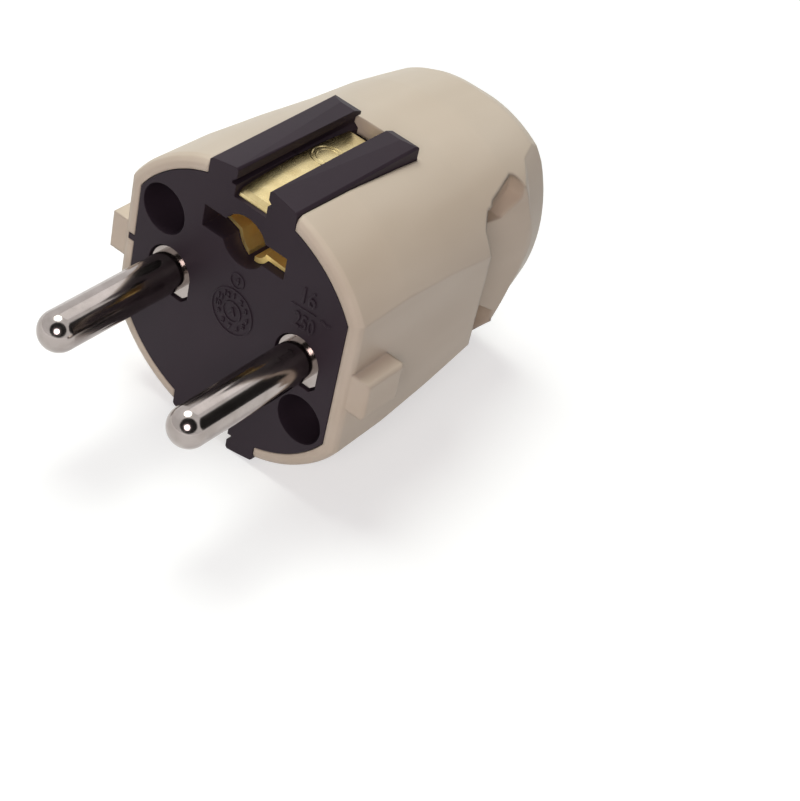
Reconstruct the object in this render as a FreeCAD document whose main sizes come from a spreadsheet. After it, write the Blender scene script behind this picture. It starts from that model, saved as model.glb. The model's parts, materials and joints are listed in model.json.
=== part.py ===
import FreeCAD, Part
import math
import os
import Sketcher
from FreeCAD import Placement, Rotation, Vector

# A rewireable earthed plug. X runs along the pin pair, Y is the plug axis with
# the pins pointing to minus Y, Z is up. The origin lies on the engagement face,
# midway between the two pins. Lengths are millimetres.

doc = FreeCAD.newDocument("earthed_plug")
sheet = doc.addObject("Spreadsheet::Sheet", "Dimensions")


class Size:
    """A length together with the sheet expression that gives it."""

    def __init__(self, value, text):
        self.value = float(value)
        self.text = text

    def __add__(self, other):
        other = as_size(other)
        return Size(self.value + other.value, "(" + self.text + " + " + other.text + ")")

    def __sub__(self, other):
        other = as_size(other)
        return Size(self.value - other.value, "(" + self.text + " - " + other.text + ")")

    def __mul__(self, factor):
        return Size(self.value * factor, "(" + self.text + " * " + str(factor) + ")")

    def __truediv__(self, factor):
        return Size(self.value / factor, "(" + self.text + " / " + str(factor) + ")")

    def __neg__(self):
        return Size(-self.value, "(0 mm - " + self.text + ")")

    def __float__(self):
        return self.value


def as_size(value):
    if isinstance(value, Size):
        return value
    return Size(value, str(round(float(value), 6)) + " mm")


def chord(radius, offset):
    """Half the chord of a circle at a distance from its centre."""
    value = math.sqrt(radius.value ** 2 - offset.value ** 2)
    return Size(value, "sqrt(" + radius.text + "^2 - " + offset.text + "^2)")


rows = [0]


def size(name, text, note):
    """Write one driving size in the sheet and hand back the length."""
    rows[0] += 1
    cell = "B" + str(rows[0])
    sheet.set("A" + str(rows[0]), note)
    sheet.set(cell, text)
    sheet.setAlias(cell, name)
    return Size(float(text), "(Dimensions." + name + " * 1 mm)")


# Pins and their terminals
pin_offset = size("pin_offset", "9.5", "pin centre from the middle")
pin_radius = size("pin_radius", "2.4", "radius of a pin")
pin_length = size("pin_length", "19", "pin length beyond the face")
arch_half = size("arch_half", "3.1", "half width of the arched recess round a pin")
arch_foot = size("arch_foot", "3.0", "distance of the recess foot from the pin axis")
arch_depth = size("arch_depth", "1.0", "depth of the arched recess")
collar_gap = size("collar_gap", "0.25", "gap between a pin collar and its recess")
terminal_half = size("terminal_half", "3.5", "half width of a pin terminal block")
terminal_start = size("terminal_start", "9", "front of a pin terminal block")
terminal_length = size("terminal_length", "8", "length of a pin terminal block")
terminal_end = terminal_start + terminal_length
terminal_screw_place = terminal_start + terminal_length / 2
wire_radius = size("wire_radius", "1.4", "radius of the wire hole in a terminal")
fit = size("fit", "0.1", "clearance between mating pieces")
thread_fit = size("thread_fit", "0.04", "clearance round a screw in its thread")

# Insert
centre_shift = size("centre_shift", "1.2", "side shift of the outline arcs")
insert_radius = size("insert_radius", "16.1", "arc radius of the insert flange")
insert_flat = size("insert_flat", "15.0", "half width of the insert flange")
flange_length = size("flange_length", "9.6", "depth of the insert flange")
core_radius = size("core_radius", "14.75", "arc radius of the insert behind the flange")
core_flat = size("core_flat", "14.0", "half width of the insert behind the flange")
rear_space = size("rear_space", "2.1", "space in the insert behind the terminal blocks")
insert_length = terminal_end + rear_space
rail_inner = size("rail_inner", "2.25", "inner side of a groove rail")
rail_outer = size("rail_outer", "6.15", "outer side of a groove rail")
rail_excess = size("rail_excess", "1.0", "reach of the groove rails behind the insert")
rail_length = insert_length + rail_excess
rail_crown = size("rail_crown", "18.15", "height of the rail tops by the groove")
rail_shoulder = size("rail_shoulder", "17.35", "height of the rail tops at their outer side")
rail_fall = size("rail_fall", "0.35", "fall of the rail tops towards the rear")
rail_round = size("rail_round", "0.25", "rounding of the rail edges")
rail_root = size("rail_root", "1.0", "depth of the rail roots below the groove floor")
groove_floor = size("groove_floor", "14.6", "height of the groove floor")
undercut_half = size("undercut_half", "2.85", "half width of the groove undercut")
undercut_low = size("undercut_low", "15.5", "height where the undercut is widest")
undercut_top = size("undercut_top", "16.9", "top of the groove undercut")
socket_height = size("socket_height", "10", "height of the earth socket")
socket_radius = size("socket_radius", "3.15", "radius of the earth socket hole")
slot_half = size("slot_half", "5.9", "half length of the earth socket slots")
slot_half_height = size("slot_half_height", "1.4", "half height of the earth socket slots")
slot_depth = size("slot_depth", "12", "depth of the earth socket slots")
key_reach = size("key_reach", "0.85", "reach of the insert key into the rim")
key_low = size("key_low", "0.6", "lower side of the insert key")
key_high = size("key_high", "1.35", "upper side of the insert key")

# Cover screws
screw_x = size("screw_x", "11.37", "side position of the cover screws")
screw_z = size("screw_z", "7.37", "height of the upper cover screw")
well_radius = size("well_radius", "3.05", "radius of a cover screw well")
well_depth = size("well_depth", "9.0", "depth of a cover screw well")
shank_radius = size("shank_radius", "1.5", "radius of the large screw shanks")
shank_hole = size("shank_hole", "1.7", "radius of the clearance holes for large screws")
screw_head = size("screw_head", "2.8", "radius of a cover screw head")
screw_head_height = size("screw_head_height", "2.0", "height of a cover screw head")
bush_gap = size("bush_gap", "0.2", "gap between the insert and a threaded bush")
bush_start = insert_length + bush_gap
bush_length = size("bush_length", "3.5", "length of a threaded bush")
bush_radius = size("bush_radius", "2.3", "radius of a threaded bush")
boss_radius = size("boss_radius", "3.2", "radius of the cover boss round a bush")

# Cover
rim_radius = size("rim_radius", "17.8", "arc radius of the cover at the rim")
cover_flat = size("cover_flat", "16.65", "half width of the cover at the rim")
rim_round = size("rim_round", "0.8", "rounding of the cover rim")
wall = size("wall", "1.6", "wall thickness of the cover")
end_wall = size("end_wall", "2.0", "thickness of the cover's rear wall")
plate_space = size("plate_space", "3.6", "depth of the room behind the insert")
wing_edge = insert_length + plate_space + wall
grip_length = size("grip_length", "16.3", "length of the cover behind the wing edge")
cover_length = wing_edge + grip_length
waist_radius = size("waist_radius", "16.05", "arc radius of the cover at the wing edge")
head_end = size("head_end", "2.2", "length of the head rounding")
head_place = cover_length - head_end
head_radius = size("head_radius", "14.55", "arc radius where the head rounding starts")
head_round = size("head_round", "1.5", "depth of the head rounding")
wing_flat = size("wing_flat", "15.9", "half width of the cover at the wing edge")
scoop_half = size("scoop_half", "12.0", "half height of a finger scoop")
neck_half = size("neck_half", "11.0", "half width of the neck between the scoops")
head_half = size("head_half", "13.0", "half width of the head")
head_flat = size("head_flat", "9.8", "half height of the flat of the head")
band_half = size("band_half", "6.4", "half height of the middle band of the neck")
recess_floor = size("recess_floor", "10.3", "half width between the recess floors")
far_axis = size("far_axis", "10.0", "distance of the turning axis of the head sides")
inlet_radius = size("inlet_radius", "4.25", "radius of the cable inlet")
inlet_bevel = size("inlet_bevel", "0.7", "bevel of the cable inlet")
lug_reach = size("lug_reach", "19.0", "outer side of the side lugs")
lug_start = size("lug_start", "0.4", "front of the side lugs")
lug_end = size("lug_end", "6.4", "rear of the side lugs")
lug_half = size("lug_half", "2.4", "half height of the side lugs")
lug_bevel = size("lug_bevel", "0.3", "bevel of the side lugs")

# Earth contacts
strip_half = size("strip_half", "2.1", "half width of the earth strip")
strip_thick = size("strip_thick", "0.8", "thickness of the earth strip")
strip_start = size("strip_start", "0.5", "front end of the earth strip")
strip_rise = size("strip_rise", "0.5", "rise of the earth strip in its middle")
tulip_radius = size("tulip_radius", "3.05", "outer radius of the earth socket sleeve")
tulip_bore = size("tulip_bore", "2.45", "bore radius of the earth socket sleeve")
tulip_start = size("tulip_start", "1.0", "front of the earth socket sleeve and arms")
arm_thick = size("arm_thick", "0.5", "thickness of the earth socket side arms")
base_thick = size("base_thick", "1.4", "thickness of the earth socket base")
spigot_radius = size("spigot_radius", "1.2", "radius of the earth socket spigot")
spigot_head = size("spigot_head", "1.9", "radius of the spigot's riveted end")
spigot_rise = size("spigot_rise", "0.7", "height of the spigot's riveted end")
washer_radius = size("washer_radius", "2.9", "radius of the earth terminal washer")
washer_thick = size("washer_thick", "0.6", "thickness of the earth terminal washer")

# Carrier and cord clamp
plate_radius = size("plate_radius", "13.9", "arc radius of the carrier plate")
plate_flat = size("plate_flat", "12.9", "half width of the carrier plate")
plate_thick = size("plate_thick", "2.0", "thickness of the carrier plate")
window_half = size("window_half", "3.6", "half width of the carrier window")
carrier_screw_x = size("carrier_screw_x", "10.6", "side position of the carrier screws")
carrier_screw_z = size("carrier_screw_z", "7.2", "height of the right carrier screw")
carrier_screw_radius = size("carrier_screw_radius", "1.1", "shank radius of the carrier screws")
tongue_half = size("tongue_half", "7.2", "half width of the carrier tongue")
tongue_length = size("tongue_length", "13.9", "length of the carrier tongue")
tongue_end = insert_length + tongue_length
tongue_gap = size("tongue_gap", "3.6", "distance of the tongue from the cord axis")
tongue_thick = size("tongue_thick", "2.2", "thickness of the carrier tongue")
clamp_set = size("clamp_set", "4.0", "distance of the clamp screws from the tongue's end")
clamp_place = tongue_end - clamp_set
clamp_screw_x = size("clamp_screw_x", "5.2", "side position of the clamp screws")
clamp_screw_radius = size("clamp_screw_radius", "1.25", "shank radius of the clamp screws")
clamp_half = size("clamp_half", "7.2", "half length of the clamp bar")
clamp_width = size("clamp_width", "4.4", "width of the clamp bar")
clamp_low = size("clamp_low", "2.4", "inner face of the clamp bar")
clamp_thick = size("clamp_thick", "2.8", "thickness of the clamp bar")
nut_radius = size("nut_radius", "2.5", "corner radius of the clamp nuts")
nut_thick = size("nut_thick", "2.0", "thickness of the clamp nuts")
doc.recompute()


class Outline:
    """A sketch drawn from points that are tied to sheet sizes."""

    def __init__(self, body, name, plane, place=None):
        self.plane = plane
        self.sketch = body.newObject("Sketcher::SketchObject", name)
        for feature in body.Origin.OriginFeatures:
            if feature.Role == plane + "_Plane":
                self.sketch.AttachmentSupport = (feature, "")
        self.sketch.MapMode = "FlatFace"
        if place is not None:
            place = as_size(place)
            if plane == "XZ":
                place = -place
            self.sketch.setExpression("AttachmentOffset.Base.z", place.text)

    def bind(self, constraint, value):
        row = self.sketch.addConstraint(constraint)
        self.sketch.setExpression("Constraints[" + str(row) + "]", value.text)

    def fix(self, geo, end, x, y):
        x = as_size(x)
        y = as_size(y)
        self.bind(Sketcher.Constraint("DistanceX", -1, 1, geo, end, x.value), x)
        self.bind(Sketcher.Constraint("DistanceY", -1, 1, geo, end, y.value), y)

    def circle(self, x, y, radius):
        radius = as_size(radius)
        shape = Part.Circle(Vector(float(x), float(y), 0), Vector(0, 0, 1), radius.value)
        geo = self.sketch.addGeometry(shape)
        self.fix(geo, 3, x, y)
        self.bind(Sketcher.Constraint("Radius", geo, radius.value), radius)
        return self

    def path(self, *steps):
        """Close a loop of corner points; a point held in a list bows the next side."""
        corners = [step for step in steps if isinstance(step, tuple)]
        spots = [Vector(float(x), float(y), 0) for x, y in corners]
        bows = {}
        count = -1
        for step in steps:
            if isinstance(step, tuple):
                count += 1
            else:
                bows[count] = step
        sides = []
        for index, spot in enumerate(spots):
            after = spots[(index + 1) % len(spots)]
            if index in bows:
                x, y = bows[index]
                through = Vector(float(x), float(y), 0)
                geo = self.sketch.addGeometry(Part.Arc(spot, through, after))
                mark = self.sketch.addGeometry(Part.Point(through), True)
                self.fix(mark, 1, x, y)
                self.sketch.addConstraint(Sketcher.Constraint("PointOnObject", mark, 1, geo))
            else:
                geo = self.sketch.addGeometry(Part.LineSegment(spot, after))
            first = 1
            if (self.sketch.getPoint(geo, 1) - spot).Length > 0.0001:
                first = 2
            sides.append((geo, first, 3 - first))
        for index, side in enumerate(sides):
            after = sides[(index + 1) % len(sides)]
            self.sketch.addConstraint(Sketcher.Constraint("Coincident", side[0], side[2], after[0], after[1]))
        for side, (x, y) in zip(sides, corners):
            self.fix(side[0], side[1], x, y)
        return self

    def rectangle(self, x_low, x_high, y_low, y_high):
        return self.path((x_low, y_low), (x_high, y_low), (x_high, y_high), (x_low, y_high))

    def oval(self, radius, flat):
        """A circle stretched sideways by the centre shift and cut flat on both sides."""
        shift = centre_shift
        side = chord(radius, flat - shift)
        bow_x = shift + radius * 0.5
        bow_z = radius * math.sqrt(0.75)
        return self.path(
            (flat, -side),
            (flat, side), [bow_x, bow_z],
            (shift, radius),
            (-shift, radius), [-bow_x, bow_z],
            (-flat, side),
            (-flat, -side), [-bow_x, -bow_z],
            (-shift, -radius),
            (shift, -radius), [bow_x, -bow_z],
        )

    def arch(self, x, half, foot):
        """A pin recess: half round on top, square at its foot."""
        corner = half * 0.25
        return self.path(
            (x + half, 0.0), [x, half],
            (x - half, 0.0),
            (x - half, corner - foot),
            (x - half + corner, -foot),
            (x + half - corner, -foot),
            (x + half, corner - foot),
        )


def new_body(name):
    body = doc.addObject("PartDesign::Body", name)
    body.Label = name
    return body


def add(body, name, outline, length, symmetric=False, flip=False):
    """Pad an outline; one drawn on the face plane grows towards the rear."""
    feature = body.newObject("PartDesign::Pad", name)
    feature.Profile = outline.sketch
    feature.setExpression("Length", as_size(length).text)
    if symmetric:
        feature.SideType = "Symmetric"
    feature.Reversed = (outline.plane == "XZ") != flip
    body.Tip = feature
    doc.recompute()
    return feature


def cut(body, name, outline, length, symmetric=False, flip=False):
    """Pocket an outline; one drawn on the face plane cuts towards the rear."""
    before = body.Shape.Volume
    feature = body.newObject("PartDesign::Pocket", name)
    feature.Profile = outline.sketch
    feature.setExpression("Length", as_size(length).text)
    if symmetric:
        feature.SideType = "Symmetric"
    feature.Reversed = flip
    body.Tip = feature
    doc.recompute()
    if body.Shape.Volume > before - 0.001:
        raise RuntimeError(name + " removes nothing")
    return feature


def turn(body, name, outline, angle, reverse=False, axis="H_Axis", kind="Revolution"):
    feature = body.newObject("PartDesign::" + kind, name)
    feature.Profile = outline.sketch
    feature.ReferenceAxis = (outline.sketch, [axis])
    feature.Angle = angle
    feature.Reversed = reverse
    body.Tip = feature
    doc.recompute()
    return feature


def dress(body, name, kind, base, test, amount):
    """Round or bevel the edges of a feature that pass the test."""
    names = ["Edge" + str(index + 1) for index, edge in enumerate(base.Shape.Edges) if test(edge)]
    if not names:
        raise RuntimeError(name + " finds no edge")
    feature = body.newObject("PartDesign::" + kind, name)
    feature.Base = (base, names)
    if kind == "Fillet":
        feature.setExpression("Radius", as_size(amount).text)
    else:
        feature.setExpression("Size", as_size(amount).text)
    body.Tip = feature
    doc.recompute()
    return feature


def stretched(body, name, profile, halfway):
    """A turned shape widened by a straight middle part between its two half turns.

    The profile lists (place, radius) corners from the front axis to the rear axis.
    """
    upper = profile[1:-1]
    lower = [(place, -as_size(radius)) for place, radius in reversed(upper)]
    flat = Outline(body, name + "_middle_sketch", "YZ")
    flat.path(*(upper + lower))
    add(body, name + "_middle", flat, halfway * 2, symmetric=True)
    right = Outline(body, name + "_right_sketch", "YZ", halfway)
    right.path(*profile)
    turn(body, name + "_right", right, 180)
    left = Outline(body, name + "_left_sketch", "YZ", -halfway)
    left.path(*profile)
    return turn(body, name + "_left", left, 180, reverse=True)


def place_body(body, rotation, x, y, z):
    body.Placement = Placement(Vector(float(x), float(y), float(z)), rotation)
    body.setExpression("Placement.Base.x", as_size(x).text)
    body.setExpression("Placement.Base.y", as_size(y).text)
    body.setExpression("Placement.Base.z", as_size(z).text)


def screw(name, shank, length, head, height, slot_share=0.45):
    """A slotted screw along Y: the head's front at zero, the shank towards plus Y."""
    body = new_body(name)
    length = as_size(length)
    head = as_size(head)
    height = as_size(height)
    profile = Outline(body, name + "_profile", "YZ")
    profile.path(
        (0, 0),
        (0, head),
        (height, head),
        (height, shank),
        (height + length, shank),
        (height + length, 0),
    )
    turn(body, name + "_turned", profile, 360)
    slot = Outline(body, name + "_slot_sketch", "XZ")
    slot.rectangle(-head * 1.1, head * 1.1, -head * 0.16, head * 0.16)
    cut(body, name + "_slot", slot, height * slot_share)
    return body


SIDES = ((-1, "left"), (1, "right"))
ENDS = ((-1, "upper"), (1, "lower"))

# Cover: the outer shell
cover = new_body("cover")
stretched(cover, "shell", [
    (0, 0),
    (0, rim_radius - rim_round),
    (rim_round * 0.3, rim_radius - rim_round * 0.3),
    (rim_round, rim_radius),
    (wing_edge * 0.35, rim_radius - 0.22),
    (wing_edge * 0.68, waist_radius + 0.85),
    (wing_edge, waist_radius),
    (wing_edge + 7, waist_radius - 0.5),
    (head_place - 2.5, head_radius + 0.35),
    (head_place, head_radius),
    (head_place + 1.2, head_radius - 0.55),
    (cover_length - 0.5, head_radius - head_round),
    (cover_length, 0),
], centre_shift)

for sign, side in SIDES:
    # Tapered side flat in front of the wing edge
    flat = Outline(cover, "flat_sketch_" + side, "XY")
    flat.path(
        ((cover_flat - rim_round) * sign, -1.0),
        ((cover_flat - rim_round) * sign, 0),
        ((cover_flat - rim_round * 0.3) * sign, rim_round * 0.3),
        (cover_flat * sign, rim_round),
        (wing_flat * sign, wing_edge),
        (wing_flat * sign, wing_edge + 1),
        ((rim_radius + 5) * sign, wing_edge + 1),
        ((rim_radius + 5) * sign, -1.0),
    )
    cut(cover, "flat_" + side, flat, rim_radius * 2.5, symmetric=True)
    # Finger scoop: its outline seen from the side, down to the flat of the head
    scoop = Outline(cover, "scoop_sketch_" + side, "YZ", head_half * sign)
    scoop.path(
        (wing_edge, -scoop_half * 0.75),
        (wing_edge, scoop_half * 0.75), [wing_edge + 1.9, scoop_half * 0.9],
        (wing_edge + 5.7, scoop_half * 0.98),
        (wing_edge + 7.8, scoop_half), [wing_edge + 9, scoop_half * 0.91],
        (wing_edge + 9.3, head_flat),
        (cover_length + 1, head_flat),
        (cover_length + 1, -head_flat),
        (wing_edge + 9.3, -head_flat), [wing_edge + 9, -scoop_half * 0.91],
        (wing_edge + 7.8, -scoop_half),
        (wing_edge + 5.7, -scoop_half * 0.98), [wing_edge + 1.9, -scoop_half * 0.9],
    )
    cut(cover, "scoop_" + side, scoop, rim_radius, flip=sign > 0)
    # Hollow neck between the wing wall and the flat of the head
    hollow = Outline(cover, "hollow_sketch_" + side, "XY")
    hollow.path(
        ((head_half + 0.5) * sign, wing_edge),
        ((neck_half + 0.6) * sign, wing_edge), [(neck_half + 0.1) * sign, wing_edge + 0.8],
        (neck_half * sign, wing_edge + 1.8), [(neck_half + 1.0) * sign, wing_edge + 6.4],
        (head_half * sign, wing_edge + 12.4),
        ((head_half + 0.5) * sign, wing_edge + 12.4),
    )
    cut(cover, "hollow_" + side, hollow, head_flat * 2, symmetric=True)
    # Recesses above and below the middle band of the neck
    recess = Outline(cover, "recess_sketch_" + side, "YZ", recess_floor * sign)
    for up in (1, -1):
        recess.path(
            (wing_edge + 0.8, band_half * up),
            (wing_edge + 0.8, (band_half + 3.0) * up),
            (wing_edge + 2.8, (scoop_half - 1.1) * up),
            (wing_edge + 7.4, (scoop_half - 0.3) * up), [wing_edge + 8.9, (scoop_half - 1.3) * up],
            (wing_edge + 9.5, (band_half + 2.0) * up),
            (wing_edge + 6.7, band_half * up),
        )
    cut(cover, "recess_" + side, recess, rim_radius, flip=sign > 0)
    # Head turned off about an axis beyond the far side
    rounding = Outline(cover, "head_sketch_" + side, "YZ", -far_axis * sign)
    reach = head_half + far_axis
    rounding.path(
        (wing_edge + 9.3, reach + 1.9),
        (head_place - 2.5, reach + 0.5),
        (cover_length + 0.5, reach - 0.9),
        (cover_length + 0.5, reach + 10),
        (wing_edge + 9.3, reach + 10),
    )
    turn(cover, "head_rounding_" + side, rounding, 360, kind="Groove")

# Cover: the cavities
flange_seat = Outline(cover, "flange_seat_sketch", "XZ")
flange_seat.oval(insert_radius + fit, insert_flat + fit)
cut(cover, "flange_seat", flange_seat, flange_length)
core_room = Outline(cover, "core_room_sketch", "XZ", flange_length)
core_room.oval(core_radius + fit, core_flat + fit)
cut(cover, "core_room", core_room, insert_length - flange_length)
plate_room = Outline(cover, "plate_room_sketch", "XZ", insert_length)
plate_room.oval(plate_radius + 0.35, plate_flat + 0.6)
cut(cover, "plate_room", plate_room, wing_edge - wall - insert_length)
neck_room = Outline(cover, "neck_room_sketch", "XZ", wing_edge - wall)
neck_room.oval(head_radius - wall, recess_floor - wall - 0.5)
cut(cover, "neck_room", neck_room, cover_length - end_wall - wing_edge + wall)
rail_slots = Outline(cover, "rail_slot_sketch", "XZ")
slot_foot = groove_floor - rail_root - fit
for up in (1, -1):
    rail_slots.rectangle(-rail_outer - fit, rail_outer + fit, slot_foot * up, (rim_radius + 2) * up)
cut(cover, "rail_slots", rail_slots, rail_length + fit)
inlet = Outline(cover, "inlet_sketch", "XZ", cover_length - end_wall - 0.5)
inlet.circle(0, 0, inlet_radius)
cut(cover, "inlet", inlet, end_wall + 1)
flare = Outline(cover, "inlet_flare_sketch", "YZ")
flare.path(
    (cover_length - inlet_bevel - 0.2, 0),
    (cover_length - inlet_bevel - 0.2, inlet_radius),
    (cover_length + 0.3, inlet_radius + inlet_bevel + 0.5),
    (cover_length + 0.3, 0),
)
turn(cover, "inlet_flare", flare, 360, kind="Groove")

# Cover: bosses for the threaded bushes, the key notch and the side lugs
for sign, end in ENDS:
    boss = Outline(cover, "boss_sketch_" + end, "XZ", insert_length + fit)
    boss.circle(screw_x * sign, -screw_z * sign, boss_radius)
    add(cover, "boss_" + end, boss, wing_edge - wall - insert_length)
    seat = Outline(cover, "bush_seat_sketch_" + end, "XZ", insert_length + fit)
    seat.circle(screw_x * sign, -screw_z * sign, bush_radius)
    cut(cover, "bush_seat_" + end, seat, bush_start + bush_length - insert_length - fit)
notch = Outline(cover, "key_notch_sketch", "XZ")
notch.rectangle(-insert_flat - key_reach - fit, -insert_flat + 1, key_low - fit, key_high + fit)
cut(cover, "key_notch", notch, 1.2)
for sign, side in SIDES:
    lug = Outline(cover, "lug_sketch_" + side, "XZ", lug_start)
    lug.rectangle((cover_flat - 0.6) * sign, lug_reach * sign, -lug_half, lug_half)
    block = add(cover, "lug_" + side, lug, lug_end - lug_start)
    outer = lug_reach.value * sign
    dress(
        cover, "lug_edges_" + side, "Chamfer", block,
        lambda e: abs(e.BoundBox.XMin - outer) < 0.01 and abs(e.BoundBox.XMax - outer) < 0.01,
        lug_bevel,
    )

# Insert: flange, core and groove rails
insert = new_body("insert")
flange = Outline(insert, "flange_sketch", "XZ")
flange.oval(insert_radius, insert_flat)
add(insert, "flange", flange, flange_length)
core = Outline(insert, "core_sketch", "XZ", flange_length)
core.oval(core_radius, core_flat)
add(insert, "core", core, insert_length - flange_length)
gap = (undercut_low - groove_floor) * 0.5
groove = Outline(insert, "groove_sketch", "XZ")
rails = Outline(insert, "rail_sketch", "XZ")
for sign, half in ((1, "top"), (-1, "bottom")):
    groove.rectangle(-rail_inner, rail_inner, groove_floor * sign, (insert_radius + 1) * sign)
for up in (1, -1):
    for out in (1, -1):
        rails.path(
            (rail_inner * out, (groove_floor - rail_root) * up),
            (rail_inner * out, (groove_floor + gap) * up),
            (undercut_half * out, undercut_low * up),
            (undercut_half * out, (undercut_low * 0.4 + undercut_top * 0.6) * up),
            (rail_inner * out, undercut_top * up),
            (rail_inner * out, (rail_crown - rail_round) * up),
            ((rail_inner + rail_round) * out, rail_crown * up),
            [(rail_inner * 0.5 + rail_outer * 0.5) * out, (rail_crown * 0.6 + rail_shoulder * 0.4) * up],
            ((rail_outer - rail_round) * out, (rail_shoulder + rail_round * 0.4) * up),
            (rail_outer * out, (rail_shoulder - rail_round * 0.6) * up),
            (rail_outer * out, (groove_floor - rail_root) * up),
        )
add(insert, "rails", rails, rail_length)
cut(insert, "groove", groove, insert_length)
slope = Outline(insert, "rail_slope_sketch", "YZ")
for up in (1, -1):
    slope.path(
        (-1.0, rail_crown * up),
        (0.0, rail_crown * up),
        (rail_length - 1.2, (rail_crown - rail_fall) * up),
        (rail_length, (rail_crown - rail_fall - 0.5) * up),
        (rail_length + 1, (rail_crown - rail_fall - 0.5) * up),
        (rail_length + 1, (rail_crown + 1) * up),
        (-1.0, (rail_crown + 1) * up),
    )
cut(insert, "rail_slope", slope, rail_outer * 3, symmetric=True)

# Insert: openings for the pins, the screws and the earth contacts
arches = Outline(insert, "arch_sketch", "XZ")
pockets = Outline(insert, "terminal_pocket_sketch", "XZ", terminal_start)
for sign, side in SIDES:
    centre = pin_offset * sign
    arches.arch(centre, arch_half, arch_foot)
    room = terminal_half + fit
    pockets.rectangle(centre - room, centre + room, -room, room)
cut(insert, "arches", arches, terminal_start)
cut(insert, "terminal_pockets", pockets, insert_length - terminal_start)
wells = Outline(insert, "well_sketch", "XZ")
holes = Outline(insert, "screw_hole_sketch", "XZ")
for sign, end in ENDS:
    wells.circle(screw_x * sign, -screw_z * sign, well_radius)
    holes.circle(screw_x * sign, -screw_z * sign, shank_hole)
cut(insert, "wells", wells, well_depth)
cut(insert, "screw_holes", holes, insert_length)
socket = Outline(insert, "socket_sketch", "XZ")
socket.circle(0, socket_height, socket_radius)
cut(insert, "socket", socket, insert_length)
slots = Outline(insert, "slot_sketch", "XZ")
slots.rectangle(-slot_half, slot_half, socket_height - slot_half_height, socket_height + slot_half_height)
cut(insert, "socket_slots", slots, slot_depth)
earth_hole = Outline(insert, "earth_hole_sketch", "XZ", insert_length - 8)
earth_hole.circle(0, 0, shank_hole)
cut(insert, "earth_hole", earth_hole, 8)
channel = Outline(insert, "strap_channel_sketch", "XZ", insert_length - strip_thick)
channel.rectangle(-strip_half - fit, strip_half + fit, -insert_radius, insert_radius)
cut(insert, "strap_channel", channel, strip_thick)
pilots = Outline(insert, "pilot_sketch", "XZ", insert_length - 6.5)
for sign, side in SIDES:
    pilots.circle(carrier_screw_x * sign, carrier_screw_z * sign, carrier_screw_radius + thread_fit)
cut(insert, "pilots", pilots, 7)
for sign, side in SIDES:
    access = Outline(insert, "terminal_access_sketch_" + side, "YZ", pin_offset * sign)
    access.circle(terminal_screw_place, 0, shank_radius + 0.5)
    cut(insert, "terminal_access_" + side, access, 8, flip=sign > 0)
key = Outline(insert, "key_sketch", "XZ")
key.rectangle(-insert_flat - key_reach, -insert_flat + 1, key_low, key_high)
add(insert, "key", key, 1.0)

# Pins: blade, collar and terminal block in one
for sign, side in SIDES:
    pin = new_body("pin_" + side)
    shape = Outline(pin, "pin_profile_" + side, "YZ", pin_offset * sign)
    tip = []
    for step in range(5):
        angle = math.radians(22.5 * step)
        along = pin_radius * round(1 - math.cos(angle), 6) - pin_length
        tip.append((along, pin_radius * round(math.sin(angle), 6)))
    shape.path(*(tip + [(arch_depth, pin_radius), (arch_depth, 0)]))
    turn(pin, "pin_turned_" + side, shape, 360)
    centre = pin_offset * sign
    collar = Outline(pin, "collar_sketch_" + side, "XZ", arch_depth)
    collar.arch(centre, arch_half - collar_gap, arch_foot - collar_gap)
    add(pin, "collar_" + side, collar, terminal_start - arch_depth)
    block = Outline(pin, "block_sketch_" + side, "XZ", terminal_start)
    block.rectangle(centre - terminal_half, centre + terminal_half, -terminal_half, terminal_half)
    add(pin, "block_" + side, block, terminal_end - terminal_start)
    wire = Outline(pin, "wire_sketch_" + side, "XZ", terminal_screw_place - 2)
    wire.circle(centre, 0, wire_radius)
    cut(pin, "wire_hole_" + side, wire, terminal_end - terminal_screw_place + 3)
    thread = Outline(pin, "thread_sketch_" + side, "YZ", pin_offset * sign)
    thread.circle(terminal_screw_place, 0, shank_radius + thread_fit)
    cut(pin, "thread_hole_" + side, thread, terminal_half + 1, flip=sign > 0)

# Terminal screws, reached from the side flats of the insert
for sign, side in SIDES:
    head_height = core_flat - pin_offset - terminal_half - fit
    body = screw("terminal_screw_" + side, shank_radius, terminal_half - 0.3, shank_radius + 0.35, head_height)
    place_body(body, Rotation(Vector(0, 0, 1), 90 * sign), (core_flat - fit) * sign, terminal_screw_place, 0)

# Cover screws and their threaded bushes
for sign, end in ENDS:
    reach = bush_start + bush_length - well_depth - 0.3
    body = screw("cover_screw_" + end, shank_radius, reach, screw_head, screw_head_height)
    place_body(body, Rotation(), screw_x * sign, well_depth - screw_head_height, -screw_z * sign)
    bush = new_body("threaded_bush_" + end)
    shift = -screw_z * sign
    round_sketch = Outline(bush, "bush_round_" + end, "XZ", bush_start)
    round_sketch.circle(screw_x * sign, shift, bush_radius)
    round_sketch.circle(screw_x * sign, shift, shank_radius + thread_fit)
    add(bush, "bush_ring_" + end, round_sketch, bush_length)

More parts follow.
